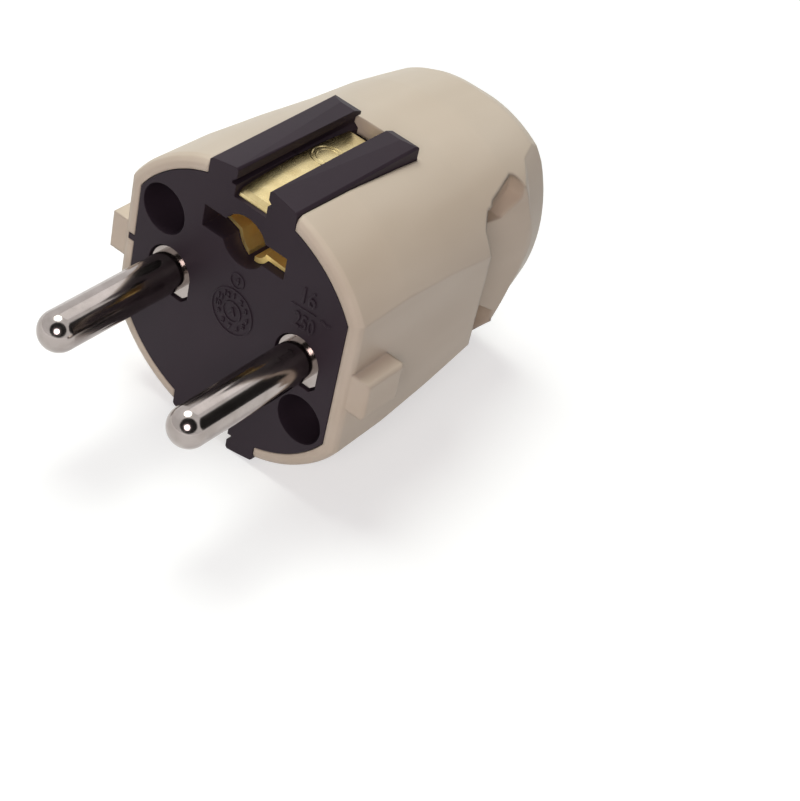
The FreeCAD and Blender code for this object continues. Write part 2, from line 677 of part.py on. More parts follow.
# Earth strap: one folded strip over the top, the rear and the bottom of the insert
strap = new_body("earth_strap")
strip = Outline(strap, "strap_profile", "YZ")
inner_end = groove_floor + 0.05
outer_end = inner_end + strip_thick
fold_rear = insert_length
fold_front = insert_length - strip_thick
middle = fold_front * 0.5
strip.path(
    (strip_start, inner_end), [middle, inner_end + strip_rise],
    (fold_front, inner_end),
    (fold_front, -inner_end), [middle, -inner_end - strip_rise],
    (strip_start, -inner_end),
    (strip_start + 0.1, -inner_end - strip_thick * 0.5),
    (strip_start + 0.6, -outer_end), [middle, -outer_end - strip_rise],
    (fold_rear - 0.7, -outer_end),
    (fold_rear, -outer_end + 0.7),
    (fold_rear, outer_end - 0.7),
    (fold_rear - 0.7, outer_end), [middle, outer_end + strip_rise],
    (strip_start + 0.6, outer_end),
    (strip_start + 0.1, inner_end + strip_thick * 0.5),
)
add(strap, "strap_strip", strip, strip_half * 2, symmetric=True)
strap_holes = Outline(strap, "strap_hole_sketch", "XZ", fold_front - 0.5)
strap_holes.circle(0, socket_height, spigot_radius + thread_fit)
strap_holes.circle(0, 0, shank_radius + thread_fit)
cut(strap, "strap_holes", strap_holes, strip_thick + 1)

# Earth socket: a slit sleeve with a base and two folded side arms
tulip = new_body("earth_socket")
socket_depth = insert_length - strip_thick
sleeve = Outline(tulip, "sleeve_sketch", "XZ", tulip_start)
sleeve.circle(0, socket_height, tulip_radius)
add(tulip, "sleeve", sleeve, socket_depth - tulip_start)
arms = Outline(tulip, "arm_sketch", "XZ", tulip_start)
arm_half = slot_half_height - fit
arms.rectangle(-slot_half + fit, slot_half - fit, socket_height - arm_half, socket_height + arm_half)
add(tulip, "arms", arms, slot_depth - tulip_start - fit)
bore = Outline(tulip, "bore_sketch", "XZ", 0)
bore.circle(0, socket_height, tulip_bore)
cut(tulip, "bore", bore, socket_depth - base_thick)
fork = Outline(tulip, "fork_sketch", "XZ", 0)
inner_half = arm_half - arm_thick
outer_x = slot_half - fit - arm_thick
fork.rectangle(-outer_x, outer_x, socket_height - inner_half, socket_height + inner_half)
cut(tulip, "fork", fork, slot_depth - arm_thick * 2)
slit = Outline(tulip, "slit_sketch", "XZ", 0)
slit.rectangle(-arm_thick, arm_thick, socket_height - tulip_radius - 1, socket_height + tulip_radius + 1)
cut(tulip, "slit", slit, slot_depth)
spigot = Outline(tulip, "spigot_sketch", "XZ", socket_depth - base_thick / 2)
spigot.circle(0, socket_height, spigot_radius)
add(tulip, "spigot", spigot, base_thick / 2 + strip_thick)
riveted = Outline(tulip, "riveted_end_sketch", "XZ", insert_length)
riveted.circle(0, socket_height, spigot_head)
add(tulip, "riveted_end", riveted, spigot_rise)

# Earth terminal screw and washer
earth_screw = screw("earth_terminal_screw", shank_radius, 5.4, 2.4, 1.6)
place_body(earth_screw, Rotation(Vector(1, 0, 0), 180), 0, insert_length + washer_thick + 1.6, 0)
washer = new_body("earth_washer")
washer_sketch = Outline(washer, "washer_sketch", "XZ", insert_length)
washer_sketch.circle(0, 0, washer_radius)
washer_sketch.circle(0, 0, shank_radius + fit)
add(washer, "washer_ring", washer_sketch, washer_thick)

# Carrier: plate on the rear of the insert and tongue under the cord
carrier = new_body("rear_carrier")
plate = Outline(carrier, "plate_sketch", "XZ", insert_length)
plate.oval(plate_radius, plate_flat)
add(carrier, "plate", plate, plate_thick)
trim = Outline(carrier, "plate_trim_sketch", "XZ", insert_length - 0.5)
rail_foot = groove_floor - rail_root
for up in (1, -1):
    trim.rectangle(-rail_outer - 1, rail_outer + 1, (rail_foot - fit) * up, (plate_radius + 1) * up)
cut(carrier, "plate_trim", trim, plate_thick + 1)
tongue = Outline(carrier, "tongue_sketch", "XZ", insert_length)
tongue.rectangle(-tongue_half, tongue_half, -tongue_gap - tongue_thick, -tongue_gap)
add(carrier, "tongue", tongue, tongue_end - insert_length)
for sign, side in SIDES:
    web = Outline(carrier, "web_sketch_" + side, "YZ", (tongue_half - 1.2) * sign)
    web.path(
        (insert_length + plate_thick - 0.5, -tongue_gap - 0.5),
        (insert_length + plate_thick - 0.5, tongue_gap * 0.4),
        (insert_length + plate_thick, tongue_gap * 0.4),
        (insert_length + plate_thick + 4, -tongue_gap),
        (insert_length + plate_thick + 4, -tongue_gap - 0.5),
    )
    add(carrier, "web_" + side, web, 1.2, flip=sign < 0)
openings = Outline(carrier, "carrier_opening_sketch", "XZ", insert_length - 0.5)
openings.rectangle(-window_half, window_half, -tongue_gap + 0.5, plate_radius - 1.6)
for sign, side in SIDES:
    openings.circle(pin_offset * sign, 0, wire_radius + 0.4)
    openings.circle(carrier_screw_x * sign, carrier_screw_z * sign, carrier_screw_radius + 0.2)
cut(carrier, "carrier_openings", openings, plate_thick + 1)
corners = Outline(carrier, "boss_relief_sketch", "XZ", insert_length - 0.5)
for sign, end in ENDS:
    corners.circle(screw_x * sign, -screw_z * sign, boss_radius + 0.3)
cut(carrier, "boss_relief", corners, plate_thick + 1)
cradle = Outline(carrier, "cradle_sketch", "YZ")
for step in (-1, 1):
    cradle.path(
        (clamp_place + step * 2.6 - 0.7, -tongue_gap - 0.3),
        (clamp_place + step * 2.6 - 0.7, -tongue_gap),
        (clamp_place + step * 2.6 - 0.2, -tongue_gap + 0.6),
        (clamp_place + step * 2.6 + 0.2, -tongue_gap + 0.6),
        (clamp_place + step * 2.6 + 0.7, -tongue_gap),
        (clamp_place + step * 2.6 + 0.7, -tongue_gap - 0.3),
    )
add(carrier, "cradle", cradle, 6, symmetric=True)
clamp_holes = Outline(carrier, "clamp_hole_sketch", "XY", -tongue_gap - tongue_thick - 1)
for sign, side in SIDES:
    clamp_holes.circle(clamp_screw_x * sign, clamp_place, clamp_screw_radius + fit)
cut(carrier, "clamp_holes", clamp_holes, tongue_thick + 2, flip=True)

# Carrier screws into the insert
for sign, side in SIDES:
    body = screw("carrier_screw_" + side, carrier_screw_radius, 8, 2.0, 1.4)
    place_body(
        body, Rotation(Vector(1, 0, 0), 180),
        carrier_screw_x * sign, insert_length + plate_thick + 1.4, carrier_screw_z * sign,
    )

# Cord clamp with its screws and nuts
clamp = new_body("cord_clamp")
bar = Outline(clamp, "clamp_sketch", "XZ", clamp_place - clamp_width / 2)
saddle = clamp_screw_x - clamp_screw_radius - 0.5
bar.path(
    (-clamp_half, clamp_low),
    (-saddle, clamp_low), [0, clamp_low + 1.1],
    (saddle, clamp_low),
    (clamp_half, clamp_low),
    (clamp_half, clamp_low + clamp_thick - 0.5),
    (clamp_half - 0.5, clamp_low + clamp_thick),
    (-clamp_half + 0.5, clamp_low + clamp_thick),
    (-clamp_half, clamp_low + clamp_thick - 0.5),
)
add(clamp, "clamp_bar", bar, clamp_width)
bar_holes = Outline(clamp, "bar_hole_sketch", "XY", clamp_low - 1)
for sign, side in SIDES:
    bar_holes.circle(clamp_screw_x * sign, clamp_place, clamp_screw_radius + fit)
cut(clamp, "bar_holes", bar_holes, clamp_thick + 2, flip=True)
for sign, side in SIDES:
    top = clamp_low + clamp_thick
    under = -tongue_gap - tongue_thick
    body = screw("clamp_screw_" + side, clamp_screw_radius, top - under + nut_thick, 2.0, 1.5)
    place_body(body, Rotation(Vector(1, 0, 0), -90), clamp_screw_x * sign, clamp_place, top + 1.5)
    nut = new_body("clamp_nut_" + side)
    ring = Outline(nut, "nut_sketch_" + side, "XY", under - nut_thick)
    corners = []
    for step in range(6):
        angle = math.radians(60 * step)
        corners.append((
            clamp_screw_x * sign + nut_radius * round(math.cos(angle), 6),
            clamp_place + nut_radius * round(math.sin(angle), 6),
        ))
    ring.path(*corners)
    ring.circle(clamp_screw_x * sign, clamp_place, clamp_screw_radius + thread_fit)
    add(nut, "nut_ring_" + side, ring, nut_thick)

doc.recompute()

nodes = [item for item in doc.Objects if item.TypeId == "PartDesign::Body"]
for item in doc.Objects:
    if "Invalid" in item.State or "Error" in item.State:
        raise RuntimeError(item.Name + " did not build")
os.makedirs("parts", exist_ok=True)
for item in nodes:
    shape = item.Shape
    if shape.isNull() or not shape.isValid() or len(shape.Solids) != 1:
        raise RuntimeError(item.Label + " is not one valid solid")
    shape.exportStep("parts/" + item.Label + ".step")
    box = shape.BoundBox
    print(item.Label, round(shape.Volume, 1), [round(v, 2) for v in (
        box.XMin, box.XMax, box.YMin, box.YMax, box.ZMin, box.ZMax)])
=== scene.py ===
# %% [markdown]
# # An earthed mains plug, rendered from its CAD frame
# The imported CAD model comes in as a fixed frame, in metres, with the plug axis along Y.
# The pins point to minus Y and Z is up. Everything made here is dressed onto that frame.

# %% Load the frame
import json
import math

import bmesh
import bpy
from mathutils import Matrix, Vector


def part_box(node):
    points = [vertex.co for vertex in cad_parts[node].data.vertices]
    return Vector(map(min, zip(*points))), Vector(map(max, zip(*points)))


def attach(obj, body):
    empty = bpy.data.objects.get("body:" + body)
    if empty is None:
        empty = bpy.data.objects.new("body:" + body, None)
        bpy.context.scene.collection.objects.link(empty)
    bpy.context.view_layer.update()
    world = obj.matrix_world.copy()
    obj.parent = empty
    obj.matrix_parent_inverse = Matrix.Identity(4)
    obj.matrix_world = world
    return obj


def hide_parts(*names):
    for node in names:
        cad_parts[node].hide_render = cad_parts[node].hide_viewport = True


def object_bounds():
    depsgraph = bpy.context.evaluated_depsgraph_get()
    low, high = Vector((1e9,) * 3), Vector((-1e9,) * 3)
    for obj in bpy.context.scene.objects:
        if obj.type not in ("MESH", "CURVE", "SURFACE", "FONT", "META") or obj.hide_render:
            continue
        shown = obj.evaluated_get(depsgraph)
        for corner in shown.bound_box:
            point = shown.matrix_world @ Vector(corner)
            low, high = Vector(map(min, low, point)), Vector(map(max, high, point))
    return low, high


MM = 0.001
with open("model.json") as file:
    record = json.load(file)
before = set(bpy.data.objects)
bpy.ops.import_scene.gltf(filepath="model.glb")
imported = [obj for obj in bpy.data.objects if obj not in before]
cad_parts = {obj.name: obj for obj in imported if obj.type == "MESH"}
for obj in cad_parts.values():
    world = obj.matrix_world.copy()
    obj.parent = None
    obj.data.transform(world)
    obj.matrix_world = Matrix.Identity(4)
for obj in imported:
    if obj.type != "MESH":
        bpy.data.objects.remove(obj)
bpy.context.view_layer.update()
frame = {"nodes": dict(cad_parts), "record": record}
nodes = frame["nodes"]
scene = bpy.context.scene


# %% [markdown]
# ## Camera
# A product photograph is usually taken from a little distance with a long lens, which keeps
# the pins from looking too large. The lens here is a 99 mm one on a 36 mm wide sensor.
# Its place and its three axes were fitted to the pins and the front face.

# %% Camera
CAMERA_PLACE = (0.1116, -0.1490, 0.1509)
TOWARDS_RIGHT = (0.7572, 0.6276, 0.1808)
TOWARDS_BACK = (0.3889, -0.6557, 0.6472)

camera_data = bpy.data.cameras.new("camera")
camera_data.sensor_width = 36.0
camera_data.sensor_fit = "HORIZONTAL"
camera_data.lens = 99.0
camera_data.clip_start = 0.005
camera_data.clip_end = 20.0
camera = bpy.data.objects.new("camera", camera_data)
scene.collection.objects.link(camera)
right = Vector(TOWARDS_RIGHT).normalized()
back = Vector(TOWARDS_BACK).normalized()
up = back.cross(right).normalized()
right = up.cross(back).normalized()
axes = Matrix((right, up, back)).transposed().to_4x4()
camera.matrix_world = Matrix.Translation(CAMERA_PLACE) @ axes
scene.camera = camera
print("camera looks along", [round(v, 3) for v in -back])


# %% [markdown]
# ## Node and object helpers
# A few short helpers keep the cells below readable: one for arithmetic in a node tree, one that
# tells what sees a point, one for noise, and one that puts a mesh into the scene.

# %% Helpers
def math_node(tree, operation, a, b):
    """The result of one operation; a and b are numbers or sockets."""
    node = tree.nodes.new("ShaderNodeMath")
    node.operation = operation
    for socket, value in zip(node.inputs, (a, b)):
        if isinstance(value, (int, float)):
            socket.default_value = value
        else:
            tree.links.new(value, socket)
    return node.outputs[0]


def seen_directly(tree):
    """1 where the camera, a polished surface or a clear one sees the point, otherwise 0."""
    path = tree.nodes.new("ShaderNodeLightPath").outputs
    either = math_node(tree, "MAXIMUM", path["Is Camera Ray"], path["Is Glossy Ray"])
    return math_node(tree, "MAXIMUM", either, path["Is Transmission Ray"])


def noise_value(tree, vector, scale, detail):
    """Smooth noise from 0 to 1; the scale is a number or a socket."""
    node = tree.nodes.new("ShaderNodeTexNoise")
    node.inputs["Detail"].default_value = detail
    tree.links.new(vector, node.inputs["Vector"])
    if isinstance(scale, (int, float)):
        node.inputs["Scale"].default_value = scale
    else:
        tree.links.new(scale, node.inputs["Scale"])
    return node.outputs["Fac"]


def new_object(name, data):
    """An object in the scene for a mesh, a curve or a lamp."""
    thing = bpy.data.objects.new(name, data)
    scene.collection.objects.link(thing)
    return thing


def new_mesh(name, verts, faces):
    """A mesh from its corners and its faces."""
    mesh = bpy.data.meshes.new(name)
    mesh.from_pydata(verts, [], faces)
    mesh.update()
    return mesh


print("helpers ready")


# %% [markdown]
# ## World, floor, cards and lamps
# The plug lies on the two rails at its underside, on a plain pale floor. The white of the
# picture comes from the world and the floor as the camera and the metal see them, while the
# light that falls on the plastic stays at a plain level. A large soft lamp hangs overhead, a
# little to the left, and a weaker one fills from the right front. A dark oval card behind the
# camera, another at the rear right and a pale one at the rear give the polished metal
# something to reflect.

# %% World
SOFT_COLOR = (1.0, 0.93, 0.97, 1.0)
SOFT_STRENGTH = 0.25

scene.view_settings.view_transform = "Standard"
world = bpy.data.worlds.new("studio")
scene.world = world
world.use_nodes = True
tree = world.node_tree
tree.nodes.clear()
out = tree.nodes.new("ShaderNodeOutputWorld")
soft = tree.nodes.new("ShaderNodeBackground")
soft.inputs["Color"].default_value = SOFT_COLOR
soft.inputs["Strength"].default_value = SOFT_STRENGTH
white = tree.nodes.new("ShaderNodeBackground")
white.inputs["Color"].default_value = (1.0, 1.0, 1.0, 1.0)
white.inputs["Strength"].default_value = 1.0
mix = tree.nodes.new("ShaderNodeMixShader")
tree.links.new(seen_directly(tree), mix.inputs[0])
tree.links.new(soft.outputs[0], mix.inputs[1])
tree.links.new(white.outputs[0], mix.inputs[2])
tree.links.new(mix.outputs[0], out.inputs["Surface"])
print("world:", world.name)


# %% Floor
FADE_START = 0.12
FADE_END = 0.70
FLOOR_SIZE = 2.0
PAPER = (0.58, 0.58, 0.58)
PAPER_LIFT = (0.52, 1.0)


def rising_with_distance(tree, near, far):
    """A value that goes from near to far between the two fade distances from the plug."""
    place = tree.nodes.new("ShaderNodeNewGeometry")
    reach = tree.nodes.new("ShaderNodeVectorMath")
    reach.operation = "LENGTH"
    tree.links.new(place.outputs["Position"], reach.inputs[0])
    fade = tree.nodes.new("ShaderNodeMapRange")
    fade.interpolation_type = "SMOOTHSTEP"
    fade.inputs["From Min"].default_value = FADE_START
    fade.inputs["From Max"].default_value = FADE_END
    fade.inputs["To Min"].default_value = near
    fade.inputs["To Max"].default_value = far
    tree.links.new(reach.outputs["Value"], fade.inputs["Value"])
    return fade.outputs["Result"]


def stage_material(name, color, lift):
    """A matte finish. The lift is added light that doesn't fall on the plug's plastic: one
    number, or a pair for near the plug and far from it."""
    material = bpy.data.materials.new(name)
    material.use_nodes = True
    tree = material.node_tree
    shader = tree.nodes["Principled BSDF"]
    shader.inputs["Base Color"].default_value = (*color, 1.0)
    shader.inputs["Roughness"].default_value = 0.9
    if lift:
        if isinstance(lift, tuple):
            lift = rising_with_distance(tree, *lift)
        strength = math_node(tree, "MULTIPLY", seen_directly(tree), lift)
        tree.links.new(strength, shader.inputs["Emission Strength"])
        shader.inputs["Emission Color"].default_value = (1.0, 1.0, 1.0, 1.0)
    return material


# The lamps fade out with distance, so the paper gets more lift further away and stays white.
floor_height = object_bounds()[0][2]
floor_corners = [
    (x * FLOOR_SIZE, y * FLOOR_SIZE, floor_height) for x, y in ((-1, -1), (1, -1), (1, 1), (-1, 1))
]
floor = new_object("floor", new_mesh("floor", floor_corners, [(0, 1, 2, 3)]))
floor.data.materials.append(stage_material("floor_paper", PAPER, PAPER_LIFT))
print("floor at", round(floor_height, 5))


# %% Cards
BLACK_CLOTH = (0.012, 0.011, 0.012)
PALE_CLOTH = (0.8, 0.8, 0.8)
CARD_STEPS = 40


def screen(name, centre, normal, width, height, color, lift=0.0):
    """A flat oval card that faces the plug from outside the picture."""
    normal = Vector(normal).normalized()
    side = normal.cross(Vector((0, 0, 1))).normalized()
    rise = side.cross(normal).normalized()
    corners = []
    for step in range(CARD_STEPS):
        angle = 2 * math.pi * step / CARD_STEPS
        offset = side * math.cos(angle) * width / 2 + rise * math.sin(angle) * height / 2
        corners.append(Vector(centre) + offset)
    card = new_object(name, new_mesh(name, corners, [tuple(range(CARD_STEPS))]))
    card.data.materials.append(stage_material(name + "_cloth", color, lift))
    card.visible_camera = False


screen("dark_screen_front", (0.52, -0.74, 0.80), (-0.52, 0.74, -0.80), 2.3, 2.0, BLACK_CLOTH)
screen("dark_screen_rear", (0.72, 0.70, 0.40), (-0.7, -0.7, -0.4), 1.2, 1.0, BLACK_CLOTH)
screen("pale_screen_rear", (-0.17, 0.66, 0.80), (0.17, -0.66, -0.8), 0.8, 0.6, PALE_CLOTH, 1.2)


# %% Lamps
LAMP_TARGET = (0.0, 0.012, 0.0)


def lamp(name, place, size, watts, color):
    """A round soft box that points at the plug."""
    data = bpy.data.lights.new(name, "AREA")
    data.shape = "DISK"
    data.size = size
    data.energy = watts
    data.color = color
    thing = new_object(name, data)
    thing.location = place
    aim = Vector(LAMP_TARGET) - Vector(place)
    thing.rotation_euler = aim.to_track_quat("-Z", "Y").to_euler()


lamp("key_lamp", (-0.28, 0.05, 0.86), 0.50, 5.5, (0.94, 1.0, 0.94))
lamp("fill_lamp", (0.34, -0.62, 0.45), 0.38, 3.3, (1.0, 0.92, 0.93))
print("lamps:", [light.name for light in bpy.data.lights])


# %% [markdown]
# ## Shared surface effects
# Moulded plastic is never perfectly even: it has a faint grain, its colour drifts along the way
# that the melt ran in the mould, and its gloss changes slowly over the surface. Drawn and
# stamped metal shows fine lines along the direction in which it was worked. Both effects are
# node groups, built once and given other values in each material.

# %% Node group helpers
def new_group(name, inputs, outputs):
    """A node group with number inputs and outputs, and its two end nodes."""
    group = bpy.data.node_groups.new(name, "ShaderNodeTree")
    for label, value in inputs:
        socket = group.interface.new_socket(
            name=label, in_out="INPUT", socket_type="NodeSocketFloat"
        )
        socket.default_value = value
    for label in outputs:
        group.interface.new_socket(name=label, in_out="OUTPUT", socket_type="NodeSocketFloat")
    return group, group.nodes.new("NodeGroupInput"), group.nodes.new("NodeGroupOutput")


def stretched(tree, vector, factors):
    """The vector with each part multiplied by its own factor, a number or a socket."""
    stretch = tree.nodes.new("ShaderNodeCombineXYZ")
    for socket, value in zip(stretch.inputs, factors):
        if isinstance(value, (int, float)):
            socket.default_value = value
        else:
            tree.links.new(value, socket)
    product = tree.nodes.new("ShaderNodeVectorMath")
    product.operation = "MULTIPLY"
    tree.links.new(vector, product.inputs[0])
    tree.links.new(stretch.outputs[0], product.inputs[1])
    return product.outputs[0]


def drifting_roughness(tree, ends, pattern):
    """The roughness of the material, moved up and down by the pattern."""
    swing = math_node(tree, "SUBTRACT", pattern, 0.5)
    swing = math_node(tree, "MULTIPLY", swing, ends.outputs["Gloss Change"])
    return math_node(tree, "ADD", swing, ends.outputs["Roughness"])


print("group helpers ready")


# %% Moulded grain
grain, ends, results = new_group(
    "moulded_grain",
    [
        ("Grain Scale", 2500.0),
        ("Cloud Scale", 120.0),
        ("Flow", 1.0),
        ("Roughness", 0.35),
        ("Gloss Change", 0.08),
    ],
    ["Height", "Roughness", "Cloud"],
)
place = grain.nodes.new("ShaderNodeTexCoord").outputs["Object"]
fine = noise_value(grain, place, ends.outputs["Grain Scale"], 3.0)
# A flow below 1 draws the clouds out along the plug axis, the way the melt ran in the mould.
drawn_out = stretched(grain, place, (1.0, ends.outputs["Flow"], 1.0))
cloud = noise_value(grain, drawn_out, ends.outputs["Cloud Scale"], 2.0)
grain.links.new(fine, results.inputs["Height"])
grain.links.new(drifting_roughness(grain, ends, cloud), results.inputs["Roughness"])
grain.links.new(cloud, results.inputs["Cloud"])
print("node group:", grain.name)


# %% Drawn lines
STAIN_SCALE = 420.0

lines, ends, results = new_group(
    "drawn_lines",
    [
        ("Across", 6000.0),
        ("Along", 150.0),
        ("Roughness", 0.2),
        ("Gloss Change", 0.1),
    ],
    ["Height", "Roughness", "Stain"],
)
place = lines.nodes.new("ShaderNodeTexCoord").outputs["Object"]
across, along = ends.outputs["Across"], ends.outputs["Along"]
streak = noise_value(lines, stretched(lines, place, (across, along, across)), 1.0, 2.0)
stain = noise_value(lines, place, STAIN_SCALE, 4.0)
lines.links.new(streak, results.inputs["Height"])
lines.links.new(drifting_roughness(lines, ends, streak), results.inputs["Roughness"])
lines.links.new(stain, results.inputs["Stain"])
print("node group:", lines.name)


# %% [markdown]
# ## Materials
# The cover is a satin ivory moulding, the insert a darker one. The pins are turned brass with a
# bright nickel plating, the earth contacts are plain stamped brass, and the screws are zinc
# plated steel. The sleeve of the earth socket is given a paler, brighter copy of that brass,
# which is painted light for the inside of its hole. The edges of a moulding are never quite
# sharp, so a Bevel node rounds the shading of the two plastics along their edges.

# %% Material helpers
EDGE_SAMPLES = 6


def surface(name, effect, settings, mask, stops, bump):
    """A material whose colour, gloss and relief come from one of the two node groups.

    The mask picks the colour between the two stops, each of them a position and a colour."""
    material = bpy.data.materials.new(name)
    material.use_nodes = True
    tree = material.node_tree
    shader = tree.nodes["Principled BSDF"]
    group = tree.nodes.new("ShaderNodeGroup")
    group.node_tree = effect
    for label, value in settings.items():
        group.inputs[label].default_value = value
    ramp = tree.nodes.new("ShaderNodeValToRGB")
    for element, (position, color) in zip(ramp.color_ramp.elements, stops):
        element.position = position
        element.color = (*color, 1.0)
    tree.links.new(group.outputs[mask], ramp.inputs["Fac"])
    tree.links.new(ramp.outputs["Color"], shader.inputs["Base Color"])
    tree.links.new(group.outputs["Roughness"], shader.inputs["Roughness"])
    relief = tree.nodes.new("ShaderNodeBump")
    relief.inputs["Strength"].default_value = 1.0
    relief.inputs["Distance"].default_value = bump
    tree.links.new(group.outputs["Height"], relief.inputs["Height"])
    tree.links.new(relief.outputs["Normal"], shader.inputs["Normal"])
    return material, shader, relief


def plastic(name, low, high, roughness, change, bump, specular, edge, flow=1.0):
    """Two close colours drift into each other, and a fine grain breaks the gloss."""
    material, shader, relief = surface(
        name, grain, {"Flow": flow, "Roughness": roughness, "Gloss Change": change},
        "Cloud", ((0.3, low), (0.7, high)), bump,
    )
    shader.inputs["Specular IOR Level"].default_value = specular
    rounding = material.node_tree.nodes.new("ShaderNodeBevel")
    rounding.samples = EDGE_SAMPLES
    rounding.inputs["Radius"].default_value = edge
    material.node_tree.links.new(rounding.outputs["Normal"], relief.inputs["Normal"])
    return material


def metal(name, color, stain_color, roughness, change, bump, across=6000.0, along=150.0):
    """Fine lines along the plug axis, with faint stains in the plating."""
    settings = {
        "Across": across, "Along": along, "Roughness": roughness, "Gloss Change": change,
    }
    stops = ((0.35, stain_color), (0.6, color))
    material, shader, relief = surface(name, lines, settings, "Stain", stops, bump)
    shader.inputs["Metallic"].default_value = 1.0
    return material


print("material helpers ready")


# %% Materials
SHEET_LINES = (2500.0, 900.0)

ivory = plastic(
    "ivory_moulding", (0.575, 0.475, 0.375), (0.64, 0.545, 0.445), 0.4, 0.08, 0.004 * MM,
    specular=0.25, edge=0.5 * MM, flow=0.3,
)
satin_black = plastic(
    "dark_moulding", (0.026, 0.017, 0.024), (0.032, 0.021, 0.029), 0.5, 0.12, 0.006 * MM,
    specular=0.15, edge=0.15 * MM,
)
nickel = metal(
    "nickel_plating", (0.42, 0.375, 0.355), (0.35, 0.31, 0.29), 0.15, 0.06, 0.002 * MM,
)
brass = metal(
    "stamped_brass", (0.66, 0.54, 0.29), (0.55, 0.43, 0.21), 0.26, 0.08, 0.003 * MM,
    *SHEET_LINES,
)
# Painted light: the sleeve's brass is a paler, brighter copy of the stamped brass, so the inside
# of the earth hole looks lit.
brass_with_painted_light = metal(
    "brass_with_painted_light", (0.98, 0.78, 0.33), (0.92, 0.68, 0.26), 0.56, 0.08, 0.003 * MM,
    *SHEET_LINES,
)
zinc = metal(
    "zinc_plating", (0.50, 0.50, 0.51), (0.40, 0.40, 0.41), 0.35, 0.15, 0.004 * MM,
)
slot_materials = {
    "cover_plastic": ivory,
    "insert_plastic": satin_black,
    "plated_pin": nickel,
    "screw_steel": zinc,
    "contact_brass": brass,
}
for entry in frame["record"]["subparts"]:
    node = nodes[entry["node"]]
    node.data.materials.clear()
    node.data.materials.append(slot_materials[entry["material_slot"]])


# %% [markdown]
# ## Turned and plated pins
# A turned pin ends in a round dome, and its plating is so bright that every flat shows. The
# CAD solid has the dome as four straight cones. A finer copy of its mesh is made here: the
# faces of the tip are divided and their points pushed out onto the sphere. The front of the
# collar comes forward, almost level with the face of the insert.

# %% Piece helpers
SAME_PLACE = 0.01 * MM
SOFT_TURN = math.radians(35.0)


def dressed(name, mesh, material):
    """A visible piece of one material that rides on the plug."""
    mesh.materials.clear()
    mesh.materials.append(material)
    thing = new_object(name, mesh)
    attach(thing, "root")
    return thing


def welded(node):
    """The mesh of a CAD node with its split points joined again."""
    bm = bmesh.new()
    bm.from_mesh(node.data)
    bmesh.ops.remove_doubles(bm, verts=bm.verts, dist=0.001 * MM)
    return bm


def finished_copy(name, bm, node_name, material):
    """A piece for a node; faces meet softly unless they turn by more than the soft turn."""
    for face in bm.faces:
        face.smooth = True
    for edge in bm.edges:
        edge.smooth = edge.calc_face_angle(math.pi) < SOFT_TURN
    mesh = bpy.data.meshes.new(name)
    bm.to_mesh(mesh)
    bm.free()
    for label in ("custom_normal", "sharp_face"):
        if label in mesh.attributes:
            mesh.attributes.remove(mesh.attributes[label])
    thing = dressed(name, mesh, material)
    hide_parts(node_name)


print("piece helpers ready")


# %% Pin copies
PIN_RADIUS = 2.4 * MM
COLLAR_FRONT = 1.0 * MM
COLLAR_FORWARD = 0.3 * MM

for side in ("left", "right"):
    low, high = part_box("pin_" + side)
    dome = Vector(((low[0] + high[0]) / 2, low[1] + PIN_RADIUS, 0.0))
    bm = welded(nodes["pin_" + side])
    limit = dome.y + SAME_PLACE
    tip = [edge for edge in bm.edges if all(vert.co.y < limit for vert in edge.verts)]
    bmesh.ops.subdivide_edges(bm, edges=tip, cuts=2, use_grid_fill=True)
    for vert in bm.verts:
        if vert.co.y < limit:
            vert.co = dome + (vert.co - dome).normalized() * PIN_RADIUS
        elif abs(vert.co.y - COLLAR_FRONT) < SAME_PLACE:
            vert.co.y = COLLAR_FORWARD
    print("pin_" + side, "points:", len(bm.verts))
    finished_copy("turned_pin_" + side, bm, "pin_" + side, nickel)


# %% [markdown]
# ## Spring sleeve of the earth socket
# The two leaves of the sleeve are sheared from one sheet, and their front edge isn't square:
# it lies deeper on the left than on the right. Light that falls in through the hole is
# reflected several times between the leaves, which turns the brass a deeper gold. The brass of
# the sleeve is also painted paler and brighter than that of the strips: painted light that
# makes the inside of the hole look lit.

# %% Sleeve copy
SLEEVE_FRONT = 1.0 * MM
SHEAR_MIDDLE = 1.8 * MM
SHEAR_SLOPE = 0.27

bm = welded(nodes["earth_socket"])
for vert in bm.verts:
    if abs(vert.co.y - SLEEVE_FRONT) < SAME_PLACE:
        vert.co.y = max(SHEAR_MIDDLE - SHEAR_SLOPE * vert.co.x, SLEEVE_FRONT)
# The sleeve takes the paler, brighter brass, painted light for the inside of its hole.
finished_copy("sheared_sleeve", bm, "earth_socket", brass_with_painted_light)
print("sleeve front from", SLEEVE_FRONT, "slope", SHEAR_SLOPE)


# %% [markdown]
# ## Raised marks on the face
# A moulded insert carries raised marks from its tool: a date dial, the number of the
# cavity and the plain electrical rating. They stand about a tenth of a millimetre proud, so they
# are real geometry that catches the light along its edges.

# %% Raised marks
MARK_HEIGHT = 0.12 * MM
MARK_FOOT = 0.03 * MM
MARK_BEVEL = 0.03 * MM
RING_STEPS = 64
RING_PROFILE = [(-0.5, 0.25), (-0.5, -0.6), (-0.25, -1.0), (0.25, -1.0), (0.5, -0.6), (0.5, 0.25)]


def raised_text(name, text, x, z, size, wide=1.0):
    """Flat letters on the face, centred on x and z; places and sizes are in millimetres."""
    curve = bpy.data.curves.new(name, "FONT")
    curve.body = text
    curve.align_x = "CENTER"
    curve.align_y = "CENTER"
    curve.size = size * MM
    curve.extrude = MARK_HEIGHT
    curve.bevel_depth = MARK_BEVEL
    curve.bevel_resolution = 1
    letters = new_object(name, curve)
    letters.rotation_euler = (math.pi / 2, 0, 0)
    letters.scale = (wide, 1, 1)
    letters.location = (x * MM, 0.0, z * MM)
    bpy.context.view_layer.update()
    shown = letters.evaluated_get(bpy.context.evaluated_depsgraph_get())
    mesh = bpy.data.meshes.new_from_object(shown)
    mesh.transform(letters.matrix_world)
    bpy.data.objects.remove(letters)
    dressed(name, mesh, satin_black)


